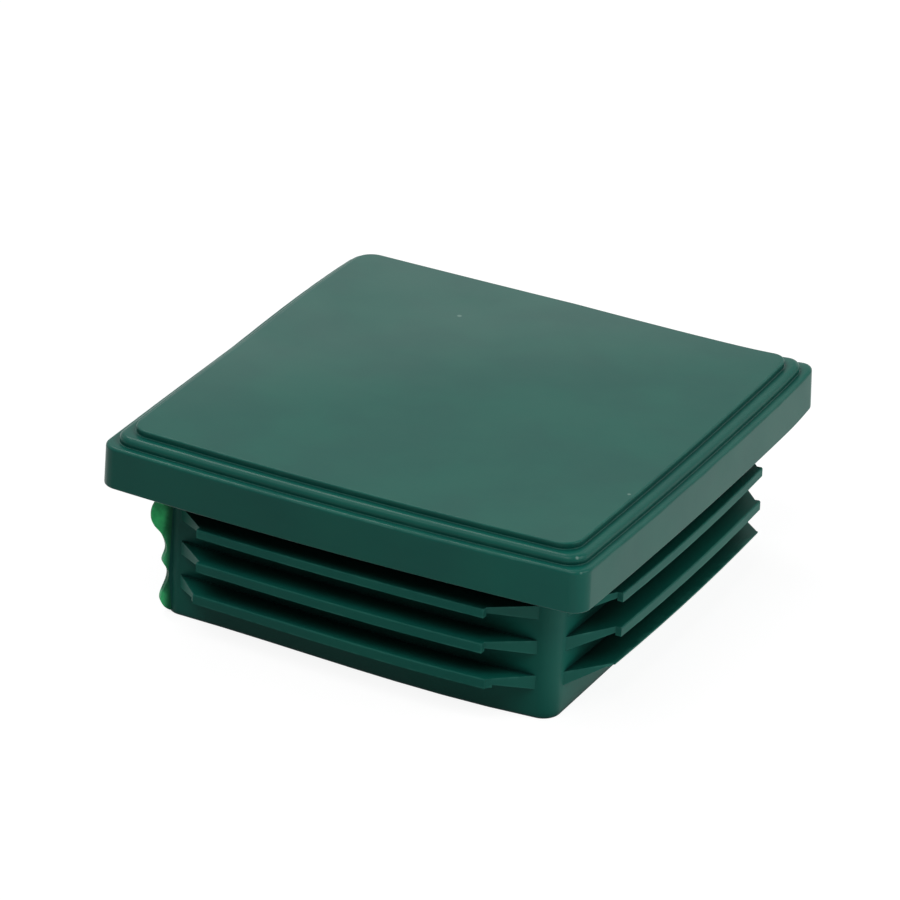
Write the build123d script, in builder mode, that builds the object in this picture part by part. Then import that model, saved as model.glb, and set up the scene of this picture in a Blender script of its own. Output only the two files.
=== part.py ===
from build123d import *
import math
import os

# Square tube end cap, moulded in one piece: a stepped head plate over a hollow skirt
# with gripping fins on each wall. The origin is the centre of the skirt's open bottom
# rim and +Z points to the head. The cap stands on that rim. Sizes are in millimetres.

# Head: the plate that covers the end of the tube
head_width = 60.0
head_side_height = 5.0
head_corner_radius = 2.05
head_draft = 1.3
head_bulge = 0.29
head_edge_round = 0.4
head_underside_round = 0.2

# Two steps that raise the panel above the rim of the head
rim_width = 1.05
lower_step_height = 1.05
lower_step_round = 0.7
ledge_width = 1.35
upper_step_height = 0.78
upper_step_round = 0.2
step_foot_round = 0.12
step_corner_radius = 2.2

# Skirt: the hollow box that goes into the tube
skirt_width = 48.95
skirt_depth = 17.1
skirt_corner_radius = 2.05
skirt_bulge = 0.57
skirt_wall = 2.0
skirt_inner_radius = 1.0
skirt_rim_round = 0.3
top_plate_thickness = 3.0

# Fins: flexible ribs on each wall of the skirt, which grip the inside of the tube. Each
# is a blade with a thicker bead along its tip. A level is the height of the top of a
# fin's tip.
fin_pitch = 4.27
fin_bulge = 0.4
fin_tip_thickness = 1.15
fin_bead_depth = 0.7
fin_blade_thickness = 0.75
fin_root_thickness = 1.95
fin_rise = 0.47
fin_tip_round = 0.2
upper_fin_count = 2
upper_fin_span = 58.3
upper_fin_length = 35.7
upper_fin_lip = 0.7
lowest_fin_level = 5.75
lowest_fin_span = 57.7
lowest_fin_length = 36.8
lowest_fin_lip = 0.15

# Flash: a thin web of surplus plastic left down one corner of the skirt. Its ragged edge
# runs through points of (level, reach from the corner).
flash_root_thickness = 1.2
flash_edge_thickness = 0.25
flash_root = 0.5
flash_reach = 2.6
flash_edge = [
    (0.3, 0.1),
    (0.9, 0.95),
    (1.8, 1.3),
    (3.0, 1.0),
    (4.6, 0.45),
    (5.4, 0.55),
    (6.5, 1.1),
    (7.7, 0.75),
    (9.2, 0.95),
    (10.2, 1.45),
    (11.1, 2.15),
    (12.4, 2.5),
    (13.7, 2.2),
    (14.6, 1.35),
    (15.0, 0.4),
]

# Levels and widths that follow from the sizes above
rim_level = skirt_depth + head_side_height
ledge_level = rim_level + lower_step_height
panel_level = ledge_level + upper_step_height
cavity_top = panel_level - top_plate_thickness
head_top_width = head_width - 2 * head_side_height * math.tan(math.radians(head_draft))
lower_step_width = head_top_width - 2 * rim_width
upper_step_width = lower_step_width - 2 * ledge_width
cavity_width = skirt_width - 2 * skirt_wall
fin_root_length = skirt_width - 2 * skirt_corner_radius
corner_reach = (skirt_width / 2 - skirt_corner_radius) * math.sqrt(2) + skirt_corner_radius


def bulged_square(width, bulge, corner_radius):
    """A square whose sides bulge outward at the middle and whose corners are rounded."""
    half = width / 2
    corners = [(half, -half), (half, half), (-half, half), (-half, -half)]
    middles = [(half + bulge, 0), (0, half + bulge), (-half - bulge, 0), (0, -half - bulge)]
    with BuildSketch(mode=Mode.PRIVATE) as outline:
        with BuildLine():
            for side in range(4):
                ThreePointArc(corners[side], middles[side], corners[(side + 1) % 4])
        make_face()
        fillet(outline.vertices(), radius=corner_radius)
    return outline.sketch


def flat_edges(edges, level):
    """Those of some edges that lie flat at one level."""
    return edges.filter_by_position(Axis.Z, level, level, inclusive=(True, True))


def make_fin(span, length, lip):
    """One fin for the +X wall, its tip's top edge at level 0 and its ends cut obliquely."""
    wall_face = skirt_width / 2
    root = wall_face - skirt_wall / 2
    tip = span / 2
    reach = tip - wall_face
    outer = tip + fin_bulge
    bead = tip - fin_bead_depth
    top_slope = fin_rise / reach
    root_top = -fin_rise - top_slope * skirt_wall / 2
    bead_top = -fin_bead_depth * top_slope
    with BuildPart() as fin:
        with BuildSketch(Plane.XZ):
            with BuildLine():
                Polyline(
                    (root, root_top),
                    (outer, fin_bulge * top_slope),
                    (outer, -fin_tip_thickness),
                    (bead, -fin_tip_thickness),
                    (bead, bead_top - fin_blade_thickness),
                    (root, root_top - fin_root_thickness),
                    close=True,
                )
            make_face()
        extrude(amount=fin_root_length / 2, both=True)
        with BuildSketch(Plane.XY):
            with BuildLine():
                ThreePointArc((tip, -length / 2), (outer, 0), (tip, length / 2))
                Polyline(
                    (tip, length / 2),
                    (tip - lip, length / 2),
                    (wall_face, fin_root_length / 2),
                    (root, fin_root_length / 2),
                    (root, -fin_root_length / 2),
                    (wall_face, -fin_root_length / 2),
                    (tip - lip, -length / 2),
                    (tip, -length / 2),
                )
            make_face()
        extrude(amount=skirt_wall + reach, both=True, mode=Mode.INTERSECT)
        tip_face = fin.faces().sort_by(Axis.X)[-1]
        fillet(tip_face.edges().group_by(Axis.Z)[-1], radius=fin_tip_round)
    return fin.part


# Flash: a web in the diagonal plane through the corner at -X, -Y, thinner towards its edge
with BuildPart() as flash:
    with BuildSketch(Plane(origin=(0, 0, 0), x_dir=(-1, -1, 0), z_dir=(-1, 1, 0))):
        with BuildLine():
            Spline([(corner_reach + reach, level) for level, reach in flash_edge])
            Polyline(
                (corner_reach + flash_edge[-1][1], flash_edge[-1][0]),
                (corner_reach - flash_root, flash_edge[-1][0]),
                (corner_reach - flash_root, flash_edge[0][0]),
                (corner_reach + flash_edge[0][1], flash_edge[0][0]),
            )
        make_face()
    extrude(amount=flash_root_thickness, both=True)
    with BuildSketch(Plane(origin=(0, 0, 0), x_dir=(-1, -1, 0))):
        with BuildLine():
            Polyline(
                (corner_reach - flash_root, -flash_root_thickness / 2),
                (corner_reach + flash_reach, -flash_edge_thickness / 2),
                (corner_reach + flash_reach, flash_edge_thickness / 2),
                (corner_reach - flash_root, flash_root_thickness / 2),
                close=True,
            )
        make_face()
    extrude(amount=skirt_depth, mode=Mode.INTERSECT)

upper_fin = make_fin(upper_fin_span, upper_fin_length, upper_fin_lip)
lowest_fin = make_fin(lowest_fin_span, lowest_fin_length, lowest_fin_lip)

with BuildPart() as end_cap:
    # Head, with a slight draft on its sides
    with BuildSketch(Plane.XY.offset(skirt_depth)):
        add(bulged_square(head_width, head_bulge, head_corner_radius))
    with BuildSketch(Plane.XY.offset(rim_level)):
        add(bulged_square(head_top_width, head_bulge, head_corner_radius))
    loft(ruled=True)
    fillet(flat_edges(end_cap.edges(), rim_level), radius=head_edge_round)
    fillet(flat_edges(end_cap.edges(), skirt_depth), radius=head_underside_round)

    # Lower step, standing on the rim of the head
    with BuildSketch(Plane.XY.offset(rim_level)):
        add(bulged_square(lower_step_width, head_bulge, step_corner_radius))
    extrude(amount=lower_step_height)
    fillet(flat_edges(end_cap.edges(Select.LAST), rim_level), radius=step_foot_round)
    fillet(flat_edges(end_cap.edges(), ledge_level), radius=lower_step_round)

    # Upper step, which carries the panel
    with BuildSketch(Plane.XY.offset(ledge_level)):
        add(bulged_square(upper_step_width, head_bulge, step_corner_radius))
    extrude(amount=upper_step_height)
    fillet(flat_edges(end_cap.edges(Select.LAST), ledge_level), radius=step_foot_round)
    fillet(flat_edges(end_cap.edges(), panel_level), radius=upper_step_round)

    # Skirt, then the cavity that opens at its bottom rim
    with BuildSketch(Plane.XY):
        add(bulged_square(skirt_width, skirt_bulge, skirt_corner_radius))
    extrude(amount=skirt_depth)
    fillet(flat_edges(end_cap.edges(), 0), radius=skirt_rim_round)
    with BuildSketch(Plane.XY):
        add(bulged_square(cavity_width, skirt_bulge, skirt_inner_radius))
    extrude(amount=cavity_top, mode=Mode.SUBTRACT)

    # Fins on the four walls
    with Locations((0, 0, lowest_fin_level)):
        with PolarLocations(0, 4):
            add(lowest_fin)
    for step in range(1, upper_fin_count + 1):
        with Locations((0, 0, lowest_fin_level + step * fin_pitch)):
            with PolarLocations(0, 4):
                add(upper_fin)

    # Flash down the corner
    add(flash.part)

end_cap.part.label = "end_cap"
os.makedirs("parts", exist_ok=True)
export_step(end_cap.part, "parts/end_cap.step")
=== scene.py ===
import math

import bmesh
import bpy
from mathutils import Matrix, Vector


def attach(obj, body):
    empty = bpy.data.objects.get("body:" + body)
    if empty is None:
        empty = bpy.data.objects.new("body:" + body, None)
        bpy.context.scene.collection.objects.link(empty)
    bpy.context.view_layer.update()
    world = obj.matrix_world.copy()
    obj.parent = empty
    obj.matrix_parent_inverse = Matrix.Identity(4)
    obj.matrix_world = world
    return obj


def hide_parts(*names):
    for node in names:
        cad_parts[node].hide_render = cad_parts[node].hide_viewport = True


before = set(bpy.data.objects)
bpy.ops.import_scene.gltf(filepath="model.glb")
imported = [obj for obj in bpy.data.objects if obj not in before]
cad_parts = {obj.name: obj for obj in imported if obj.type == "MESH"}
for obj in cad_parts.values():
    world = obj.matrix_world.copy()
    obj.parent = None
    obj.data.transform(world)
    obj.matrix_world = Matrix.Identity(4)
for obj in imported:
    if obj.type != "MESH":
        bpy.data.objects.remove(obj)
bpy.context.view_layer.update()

MM = 0.001

# Camera, from the perspective of the head's outline. It looks at a point near the
# centre of the head's rim.
CAMERA_AZIMUTH = 26.573
CAMERA_ELEVATION = 26.586
CAMERA_ROLL = 2.392
CAMERA_DISTANCE = 703.2 * MM
CAMERA_CLIP = 10 * CAMERA_DISTANCE
CAMERA_LENS = 250.42
SENSOR_WIDTH = 36.0
AIM_LEVEL = 21.8 * MM
AIM_RIGHT = -1.632 * MM
AIM_UP = -4.894 * MM

# Shape of the head: how the real moulding departs from its nominal form, in
# millimetres. Signs are those of X and Y.
HALF_HEAD = 30.0
HEAD_WARP_START = 13.0
HEAD_WARP_END = 17.1
CORNER_DROP = {(-1, -1): 0.27, (-1, 1): 0.55}
SIDE_SAG = {(0, -1): 0.37, (1, 0): 0.25, (0, 1): 0.22, (-1, 0): 0.15}
SIDE_WAVE = {
    # (side, the end of it that the wave is nearer to): drop
    ((0, 1), (1, 0)): 0.6,
    ((-1, 0), (0, 1)): -0.95,
}
CURL_RISE = 0.45
CURL_REACH = 4.0

# Shape of the skirt and its fins, likewise
HALF_SKIRT = 24.475
SKIRT_BOW = 0.57
SKIRT_CORNER = 2.05
SKIRT_WARP_END = 14.0
FRONT_SKEW = 1.0
FRONT_BOW = 0.28
RIGHT_BOW_LOSS = 0.5
LEFT_FIN_LOSS = 1.6
LOW_FIN_BASE = 2.8
LOW_FIN_TOP = 5.75
LOW_FIN_MARGIN = 0.1
LOW_FIN_REACH = 28.85
LOW_FIN_SLOPE = 0.107
FEATHERING = 0.85

# Mesh, in millimetres and degrees
BEND_STEP = 2.0
MERGE_DISTANCE = 0.001
SHARP_ANGLE = 28.0

# Light, in degrees and metres. The floor glows to the right of an edge, and returns
# little light elsewhere.
WORLD_AMBIENT = 0.05
FLOOR_SIZE = 4.0
FLOOR_EDGE = 27.0 * MM
FLOOR_BOUNCE = 0.12
FLOOR_GLOW = 0.9
FLOOR_SHADE = 0.17
LAMPS = {
    # name: (azimuth, elevation, distance, width, strength)
    "above_front": (0.0, 60.0, 0.9, 0.5, 0.37),
    "above_left": (315.0, 60.0, 0.9, 0.5, 0.13),
    "right": (95.0, 40.0, 0.9, 0.5, 0.37),
    "high_back": (237.0, 55.0, 0.9, 0.3, 0.28),
    "left": (270.0, 30.0, 0.9, 0.5, 0.06),
    "back": (170.0, 25.0, 0.9, 0.5, 0.05),
}

# Noise patterns
NOISES = {
    # name: (scale per metre, detail)
    "clouds": (110.0, 3.0),
    "reflection": (80.0, 2.0),
    "wear": (500.0, 2.0),
    "sheen": (240.0, 4.0),
    "waves": (160.0, 2.0),
    "grain": (2200.0, 2.0),
    "ragged": (400.0, 3.0),
}

# Colour of the plastic. Places and lengths are in millimetres. A range gives the values
# at which a share starts and at which it is full.
PLASTIC_DEEP = (0.003, 0.084, 0.065, 1)
PLASTIC_LIGHT = (0.004, 0.097, 0.072, 1)
CLOUD_RANGE = (0.3, 0.7)
OPENNESS_SAMPLES = 8

# Outer edges: paler partly from wear and partly as a painted highlight
EDGE_WEAR_AND_HIGHLIGHT = (0.030, 0.170, 0.135, 1)
EDGE_WIDTH = 0.35
EDGE_RANGE = (0.95, 0.45)
WEAR_RANGE = (0.35, 0.65)
EDGE_AMOUNT = 0.6

# Painted shade: darker in creases, where the surface is hemmed in close by
PAINTED_CREASE_SHADE = (0.001, 0.020, 0.020, 1)
CREASE_WIDTH = 1.1
CREASE_RANGE = (0.95, 0.45)
CREASE_AMOUNT = 0.7

# Painted shade: darker in deep gaps, such as those between the fins
PAINTED_GAP_SHADE = (0.001, 0.010, 0.008, 1)
GAP_REACH = 5.0
GAP_RANGE = (0.52, 0.20)
GAP_AMOUNT = 0.9

# Painted reflection: a pale cast over one side of the top of the head
REFLECTION_PALE = (0.90, 0.95, 0.95, 1)
REFLECTION_AZIMUTH = 222.0
REFLECTION_RANGE = (-3.0, 22.0)
REFLECTION_LEVELS = (22.5, 23.5)
REFLECTION_PATCHES = (-0.6, 0.8)
REFLECTION_AMOUNT = 0.035

# Small pale marks: the first two in the list are a speck and a scratch on the panel, the others are
# painted glints on edges of the head
MARK_AND_GLINT_PALE = (0.45, 0.60, 0.55, 1)
MARK_CORE = 0.5
MARK_AMOUNT = 0.25
MARKS = [
    # (x, y, z, radius)
    (-9.8, 17.4, 23.55, 0.35),
    (27.0, -13.2, 23.75, 0.25),
    (28.1, -28.0, 22.8, 0.25),
    (29.4, -29.4, 22.0, 0.30),
    (-16.5, -30.1, 21.8, 0.35),
    (-24.5, -30.0, 21.9, 0.25),
    (30.2, -23.0, 21.9, 0.25),
]

# Finish of the plastic
SPECULAR_LEVEL = 0.13
ROUGHNESS_RANGE = (0.25, 0.36)
DULL_LEVELS = (17.0, 16.0)
DULLNESS = 0.20
WAVE_STRENGTH = 0.5
WAVE_HEIGHT = 0.03
GRAIN_STRENGTH = 0.25
GRAIN_HEIGHT = 0.01

# Flash: the thin web down one corner. A reach is measured from the Z axis.
FLASH_AZIMUTH = 315.0
FLASH_START = 33.95
FLASH_THIN = 34.95
FLASH_TOP = 15.3
# The web's pale green is brighter than the plastic's own colour: a painted backlight, on top of the
# light that really passes through the web
FLASH_BACKLIT_GREEN = (0.20, 0.85, 0.46, 1)
FLASH_DEEP = (0.010, 0.16, 0.085, 1)
FLASH_PATCHES = (0.2, 0.6)
FLASH_ROUGHNESS = 0.3
FLASH_SPECULAR_LEVEL = 0.14
FLASH_CLEARNESS = 0.5


def direction(azimuth, elevation):
    """Unit vector from the object towards a point that is seen at those angles."""
    turn = math.radians(azimuth)
    rise = math.radians(elevation)
    return Vector(
        (math.sin(turn) * math.cos(rise), -math.cos(turn) * math.cos(rise), math.sin(rise))
    )


def add_camera():
    back = direction(CAMERA_AZIMUTH, CAMERA_ELEVATION)
    level_right = direction(CAMERA_AZIMUTH + 90, 0)
    level_up = back.cross(level_right)
    roll = math.radians(CAMERA_ROLL)
    right = math.cos(roll) * level_right + math.sin(roll) * level_up
    up = math.cos(roll) * level_up - math.sin(roll) * level_right
    aim = Vector((0, 0, AIM_LEVEL)) + AIM_RIGHT * right + AIM_UP * up
    camera = bpy.data.objects.new("camera", bpy.data.cameras.new("camera"))
    bpy.context.scene.collection.objects.link(camera)
    camera.data.lens = CAMERA_LENS
    camera.data.sensor_width = SENSOR_WIDTH
    camera.data.clip_end = CAMERA_CLIP
    camera.matrix_world = Matrix.LocRotScale(
        aim + CAMERA_DISTANCE * back, Matrix((right, up, back)).transposed().to_quaternion(), None
    )
    bpy.context.scene.camera = camera


def add_lamps():
    """Soft square lamps. A strength of 1 lights a facing surface to its own colour."""
    for name, (azimuth, elevation, distance, width, strength) in LAMPS.items():
        lamp = bpy.data.objects.new(name, bpy.data.lights.new(name, "AREA"))
        bpy.context.scene.collection.objects.link(lamp)
        lamp.data.shape = "SQUARE"
        lamp.data.size = width
        lamp.data.energy = strength * (math.pi * distance) ** 2
        towards = direction(azimuth, elevation)
        lamp.location = distance * towards
        lamp.rotation_mode = "QUATERNION"
        lamp.rotation_quaternion = towards.to_track_quat("Z", "Y")


def new_nodes(owner):
    """An emptied node tree and functions that add a node and join two sockets."""
    owner.use_nodes = True
    tree = owner.node_tree
    tree.nodes.clear()

    def add(kind, **settings):
        node = tree.nodes.new(kind)
        for key, value in settings.items():
            if hasattr(node, key):
                setattr(node, key, value)
            else:
                node.inputs[key].default_value = value
        return node

    return add, tree.links.new


def grey(share):
    """An even colour that returns a share of the light, from black at 0 to white at 1."""
    return (share, share, share, 1)


def greatest(add, link, first, second):
    """The greater of two values."""
    node = add("ShaderNodeMath", operation="MAXIMUM")
    link(first, node.inputs[0])
    link(second, node.inputs[1])
    return node.outputs[0]


def times(add, link, first, second):
    """The product of a value and either another one or a number."""
    node = add("ShaderNodeMath", operation="MULTIPLY")
    link(first, node.inputs[0])
    if isinstance(second, float):
        node.inputs[1].default_value = second
    else:
        link(second, node.inputs[1])
    return node.outputs[0]


def span(add, link, value, least, most):
    """A value from 0 to 1, spread evenly between two others."""
    node = add("ShaderNodeMapRange")
    link(value, node.inputs["Value"])
    node.inputs["To Min"].default_value = least
    node.inputs["To Max"].default_value = most
    return node.outputs["Result"]


def ramp(add, link, value, limits, unit=1):
    """0 before the first limit, 1 past the second, and a smooth curve between them."""
    node = add("ShaderNodeMapRange", interpolation_type="SMOOTHSTEP")
    link(value, node.inputs["Value"])
    node.inputs["From Min"].default_value = limits[0] * unit
    node.inputs["From Max"].default_value = limits[1] * unit
    return node.outputs["Result"]


def blend(add, link, share, first, second):
    """A colour between two. Each is a colour or a socket that gives one."""
    # The node's inputs 6 and 7 and its output 2 are the ones for colours
    node = add("ShaderNodeMix", data_type="RGBA")
    link(share, node.inputs["Factor"])
    for socket, colour in ((node.inputs[6], first), (node.inputs[7], second)):
        if isinstance(colour, tuple):
            socket.default_value = colour
        else:
            link(colour, socket)
    return node.outputs[2]


def noise(add, link, place, name):
    """One of the noise patterns, about 0.5 on average."""
    scale, detail = NOISES[name]
    node = add("ShaderNodeTexNoise", Scale=scale, Detail=detail)
    link(place, node.inputs["Vector"])
    return node.outputs["Fac"]


def level(add, link, place):
    """How high a place is."""
    axes = add("ShaderNodeSeparateXYZ")
    link(place, axes.inputs[0])
    return axes.outputs["Z"]


def reach(add, link, place, azimuth):
    """How far a place is from the Z axis, towards one azimuth."""
    along = add("ShaderNodeVectorMath", operation="DOT_PRODUCT")
    along.inputs[1].default_value = direction(azimuth, 0)
    link(place, along.inputs[0])
    return along.outputs["Value"]


def finish_material(add, link, shader):
    output = add("ShaderNodeOutputMaterial")
    link(shader.outputs[0], output.inputs["Surface"])


def seen_directly(add, link):
    """1 for rays from the camera and those that a mirror or glass sends on, else 0."""
    path = add("ShaderNodeLightPath")
    mirrored = greatest(add, link, path.outputs["Is Camera Ray"], path.outputs["Is Glossy Ray"])
    return greatest(add, link, mirrored, path.outputs["Is Transmission Ray"])


def add_world():
    """White where it is seen, and a dimmer even light on the object."""
    world = bpy.data.worlds.new("studio")
    bpy.context.scene.world = world
    add, link = new_nodes(world)
    background = add("ShaderNodeBackground", Color=grey(1))
    link(span(add, link, seen_directly(add, link), WORLD_AMBIENT, 1), background.inputs["Strength"])
    output = add("ShaderNodeOutputWorld")
    link(background.outputs[0], output.inputs["Surface"])


def glowing_white(add, link):
    """White that keeps the object's shadow."""
    shade = add("ShaderNodeBsdfDiffuse", Color=grey(FLOOR_SHADE))
    glow = add("ShaderNodeEmission", Color=grey(1), Strength=FLOOR_GLOW)
    white = add("ShaderNodeAddShader")
    link(shade.outputs[0], white.inputs[0])
    link(glow.outputs[0], white.inputs[1])
    return white


def bright_floor():
    """White that glows on the object too."""
    material = bpy.data.materials.new("floor_bright")
    add, link = new_nodes(material)
    finish_material(add, link, glowing_white(add, link))
    return material


def plain_floor():
    """The same white where it is seen, and a dull surface to the light on the object."""
    material = bpy.data.materials.new("floor_white")
    add, link = new_nodes(material)
    bounce = add("ShaderNodeBsdfDiffuse", Color=grey(FLOOR_BOUNCE))
    mix = add("ShaderNodeMixShader")
    link(seen_directly(add, link), mix.inputs[0])
    link(bounce.outputs[0], mix.inputs[1])
    link(glowing_white(add, link).outputs[0], mix.inputs[2])
    finish_material(add, link, mix)
    return material


def add_floor():
    """Two faces, side by side, of which the right one is the bright part."""
    half = FLOOR_SIZE / 2
    mesh = bpy.data.meshes.new("floor")
    corners = [(x, y, 0) for x in (-half, FLOOR_EDGE, half) for y in (-half, half)]
    mesh.from_pydata(corners, [], [(0, 2, 3, 1), (2, 4, 5, 3)])
    mesh.materials.append(plain_floor())
    mesh.materials.append(bright_floor())
    mesh.polygons[1].material_index = 1
    floor = bpy.data.objects.new("floor", mesh)
    bpy.context.scene.collection.objects.link(floor)


def worn_and_highlit_edge_share(add, link, place):
    """Outer edges, paled partly as wear and partly as a painted highlight, broken up where they are
    less worn.
    """
    inside = add(
        "ShaderNodeAmbientOcclusion", inside=True, samples=OPENNESS_SAMPLES, Distance=EDGE_WIDTH * MM
    )
    edge = ramp(add, link, inside.outputs["AO"], EDGE_RANGE)
    worn = ramp(add, link, noise(add, link, place, "wear"), WEAR_RANGE)
    return times(add, link, times(add, link, edge, worn), EDGE_AMOUNT)


def enclosed_shade_share(add, link, distance, limits, amount):
    """Places that are hemmed in by what lies within a distance, darkened there as painted shade."""
    outside = add("ShaderNodeAmbientOcclusion", samples=OPENNESS_SAMPLES, Distance=distance * MM)
    return times(add, link, ramp(add, link, outside.outputs["AO"], limits), amount)


def painted_reflection_share(add, link, place):
    """A painted pale reflection over one side of the panel, with soft uneven limits."""
    side = ramp(add, link, reach(add, link, place, REFLECTION_AZIMUTH), REFLECTION_RANGE, MM)
    upper = ramp(add, link, level(add, link, place), REFLECTION_LEVELS, MM)
    patches = ramp(add, link, noise(add, link, place, "reflection"), REFLECTION_PATCHES)
    share = times(add, link, times(add, link, side, upper), patches)
    return times(add, link, share, REFLECTION_AMOUNT)


def mark_and_glint_share(add, link, place):
    """The small pale marks: a speck, a scratch and painted glints."""
    share = None
    for x, y, z, radius in MARKS:
        away = add("ShaderNodeVectorMath", operation="DISTANCE")
        away.inputs[1].default_value = (x * MM, y * MM, z * MM)
        link(place, away.inputs[0])
        mark = ramp(add, link, away.outputs["Value"], (radius, radius * MARK_CORE), MM)
        share = mark if share is None else greatest(add, link, share, mark)
    return times(add, link, share, MARK_AMOUNT)


def plastic_colour(add, link, place):
    """Soft clouds of green, with painted shade in creases and gaps, edges paled by wear and a
    painted highlight, a painted reflection over one side, and pale marks of which some are painted
    glints.
    """
    clouds = ramp(add, link, noise(add, link, place, "clouds"), CLOUD_RANGE)
    creases = enclosed_shade_share(add, link, CREASE_WIDTH, CREASE_RANGE, CREASE_AMOUNT)
    gaps = enclosed_shade_share(add, link, GAP_REACH, GAP_RANGE, GAP_AMOUNT)
    colour = blend(add, link, clouds, PLASTIC_DEEP, PLASTIC_LIGHT)
    colour = blend(add, link, creases, colour, PAINTED_CREASE_SHADE)
    colour = blend(add, link, gaps, colour, PAINTED_GAP_SHADE)
    colour = blend(add, link, worn_and_highlit_edge_share(add, link, place), colour, EDGE_WEAR_AND_HIGHLIGHT)
    colour = blend(add, link, painted_reflection_share(add, link, place), colour, REFLECTION_PALE)
    return blend(add, link, mark_and_glint_share(add, link, place), colour, MARK_AND_GLINT_PALE)


def plastic_roughness(add, link, place):
    """An uneven sheen on the head, and a duller one on the skirt."""
    roughness = add("ShaderNodeMath", operation="MULTIPLY_ADD")
    link(ramp(add, link, level(add, link, place), DULL_LEVELS, MM), roughness.inputs[0])
    roughness.inputs[1].default_value = DULLNESS
    link(span(add, link, noise(add, link, place, "sheen"), *ROUGHNESS_RANGE), roughness.inputs[2])
    return roughness.outputs[0]


def plastic_relief(add, link, place):
    """Slight waves, with a fine grain on them."""
    waves = add("ShaderNodeBump", Strength=WAVE_STRENGTH, Distance=WAVE_HEIGHT * MM)
    link(noise(add, link, place, "waves"), waves.inputs["Height"])
    grain = add("ShaderNodeBump", Strength=GRAIN_STRENGTH, Distance=GRAIN_HEIGHT * MM)
    link(noise(add, link, place, "grain"), grain.inputs["Height"])
    link(waves.outputs["Normal"], grain.inputs["Normal"])
    return grain.outputs["Normal"]


def green_plastic():
    """Dark green moulded polyethylene with a satin sheen."""
    material = bpy.data.materials.new("green_plastic")
    add, link = new_nodes(material)
    place = add("ShaderNodeTexCoord").outputs["Object"]
    surface = add("ShaderNodeBsdfPrincipled")
    surface.inputs["Specular IOR Level"].default_value = SPECULAR_LEVEL
    link(plastic_colour(add, link, place), surface.inputs["Base Color"])
    link(plastic_roughness(add, link, place), surface.inputs["Roughness"])
    link(plastic_relief(add, link, place), surface.inputs["Normal"])
    finish_material(add, link, surface)
    return material


def thin_green_plastic():
    """The same plastic where it is a thin web: light shines through it, and its pale green is partly
    a painted backlight.
    """
    material = bpy.data.materials.new("thin_green_plastic")
    add, link = new_nodes(material)
    place = add("ShaderNodeTexCoord").outputs["Object"]
    thin = ramp(add, link, reach(add, link, place, FLASH_AZIMUTH), (FLASH_START, FLASH_THIN), MM)
    patches = ramp(add, link, noise(add, link, place, "ragged"), FLASH_PATCHES)
    colour = blend(add, link, times(add, link, thin, patches), FLASH_DEEP, FLASH_BACKLIT_GREEN)
    surface = add("ShaderNodeBsdfPrincipled", Roughness=FLASH_ROUGHNESS)
    surface.inputs["Specular IOR Level"].default_value = FLASH_SPECULAR_LEVEL
    link(colour, surface.inputs["Base Color"])
    through = add("ShaderNodeBsdfTranslucent")
    link(colour, through.inputs["Color"])
    mix = add("ShaderNodeMixShader")
    mix.inputs[0].default_value = FLASH_CLEARNESS
    link(surface.outputs[0], mix.inputs[1])
    link(through.outputs[0], mix.inputs[2])
    finish_material(add, link, mix)
    return material


def limited(value):
    """A value, held between -1 and 1."""
    return min(max(value, -1.0), 1.0)


def smooth_rise(value, start, end):
    """0 before start, 1 after end, and an even curve between them."""
    t = min(max((value - start) / (end - start), 0.0), 1.0)
    return t * t * (3 - 2 * t)


def head_drop(x, y):
    """How far the head lies below its nominal level at a place, in millimetres."""
    u = limited(x / HALF_HEAD)
    v = limited(y / HALF_HEAD)
    drop = 0.0
    for (sign_x, sign_y), corner in CORNER_DROP.items():
        drop += corner * (1 + sign_x * u) * (1 + sign_y * v) / 4
    for (sign_x, sign_y), sag in SIDE_SAG.items():
        outward = max(sign_x * u + sign_y * v, 0.0)
        along = v if sign_x else u
        drop += sag * outward**2 * (1 - along**2)
    for ((side_x, side_y), (end_x, end_y)), wave in SIDE_WAVE.items():
        outward = max(side_x * u + side_y * v, 0.0)
        along = max(end_x * u + end_y * v, 0.0)
        drop += wave * outward**2 * along * (1 - along**2)
    # The corner at +X, +Y curls up
    from_corner = math.hypot(x - HALF_HEAD, y - HALF_HEAD)
    return drop - CURL_RISE * math.exp(-((from_corner / CURL_REACH) ** 2))


def feathered(x, z):
    """The level of a point of the lowest fin on the right wall, whose tip is thin and sharp."""
    top = LOW_FIN_TOP + (x - LOW_FIN_REACH) * LOW_FIN_SLOPE
    thinning = FEATHERING * smooth_rise(x, (HALF_SKIRT + LOW_FIN_REACH) / 2, LOW_FIN_REACH)
    return top - (top - z) * (1 - thinning)


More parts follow.
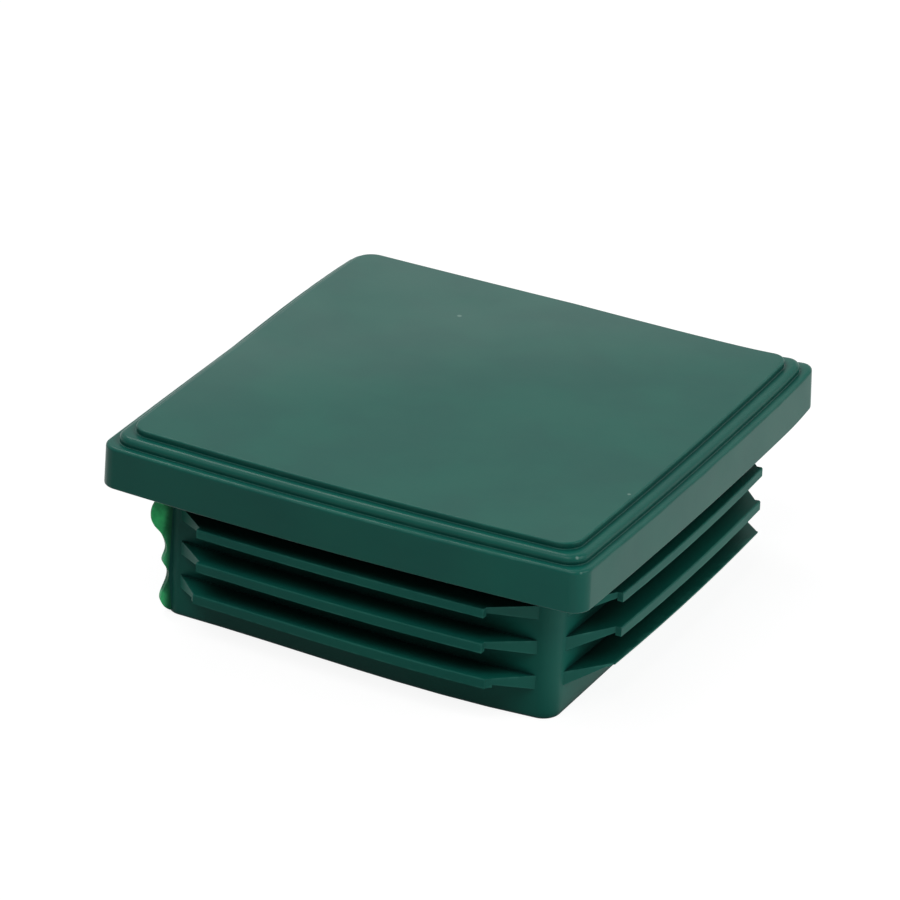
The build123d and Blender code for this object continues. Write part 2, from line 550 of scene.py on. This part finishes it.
def warped(point):
    """A point of the nominal form, moved to where it is on the real moulding."""
    x, y, z = point / MM
    z -= smooth_rise(z, HEAD_WARP_START, HEAD_WARP_END) * head_drop(x, y)
    # The foot of the front wall bows out on the right, and slightly in on the left
    low = 1 - smooth_rise(z, 0, SKIRT_WARP_END)
    if y < -HALF_SKIRT / 2:
        u = limited(x / HALF_SKIRT)
        y -= low * (FRONT_BOW + FRONT_SKEW * u) * (1 - u * u)
    # The fins on the left fall short near the front
    v = limited(y / HALF_SKIRT)
    if x < -HALF_SKIRT and y > -HALF_SKIRT + SKIRT_CORNER and z < HEAD_WARP_START:
        x += LEFT_FIN_LOSS * max(-v, 0.0) * (-x - HALF_SKIRT) / (LOW_FIN_REACH - HALF_SKIRT)
    # On the right, the lowest fin has a sharp tip and the wall below it is straighter
    if x > HALF_SKIRT + SKIRT_BOW and LOW_FIN_BASE < z < LOW_FIN_TOP + LOW_FIN_MARGIN:
        z = feathered(x, z)
    elif x > HALF_SKIRT / 2 and z < LOW_FIN_BASE:
        x -= RIGHT_BOW_LOSS * (1 - v * v)
    return Vector((x, y, z)) * MM


def cut_grid(shape):
    """Cuts the faces of the head into a grid, so that flat ones can bend."""
    base = HEAD_WARP_START * MM
    for normal in (Vector((1, 0, 0)), Vector((0, 1, 0))):
        place = -HALF_HEAD + BEND_STEP / 2
        while place < HALF_HEAD:
            faces = [face for face in shape.faces if face.calc_center_median().z > base]
            edges = {edge for face in faces for edge in face.edges}
            verts = {vert for face in faces for vert in face.verts}
            bmesh.ops.bisect_plane(
                shape, geom=[*verts, *edges, *faces], plane_co=normal * place * MM, plane_no=normal
            )
            place += BEND_STEP


def is_flash(place):
    """Whether a place is in the thin web outside the skirt's corner."""
    return place.z < FLASH_TOP * MM and place.dot(direction(FLASH_AZIMUTH, 0)) > FLASH_START * MM


def make_cap():
    """The cap as moulded: the nominal form, bent a little, in place of the CAD node."""
    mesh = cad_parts["end_cap"].data.copy()
    mesh.materials.clear()
    mesh.materials.append(green_plastic())
    mesh.materials.append(thin_green_plastic())
    shape = bmesh.new()
    shape.from_mesh(mesh)
    bmesh.ops.remove_doubles(shape, verts=shape.verts, dist=MERGE_DISTANCE * MM)
    cut_grid(shape)
    for face in shape.faces:
        face.material_index = 1 if is_flash(face.calc_center_median()) else 0
    for vert in shape.verts:
        vert.co = warped(vert.co)
    for edge in shape.edges:
        edge.smooth = edge.calc_face_angle(0) < math.radians(SHARP_ANGLE)
    shape.to_mesh(mesh)
    shape.free()
    mesh.polygons.foreach_set("use_smooth", [True] * len(mesh.polygons))
    cap = bpy.data.objects.new("tube_end_cap", mesh)
    bpy.context.scene.collection.objects.link(cap)
    normals = cap.modifiers.new("even_normals", "WEIGHTED_NORMAL")
    normals.keep_sharp = True
    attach(cap, "root")
    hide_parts("end_cap")


bpy.context.scene.view_settings.view_transform = "Standard"
make_cap()
add_floor()
add_world()
add_lamps()
add_camera()
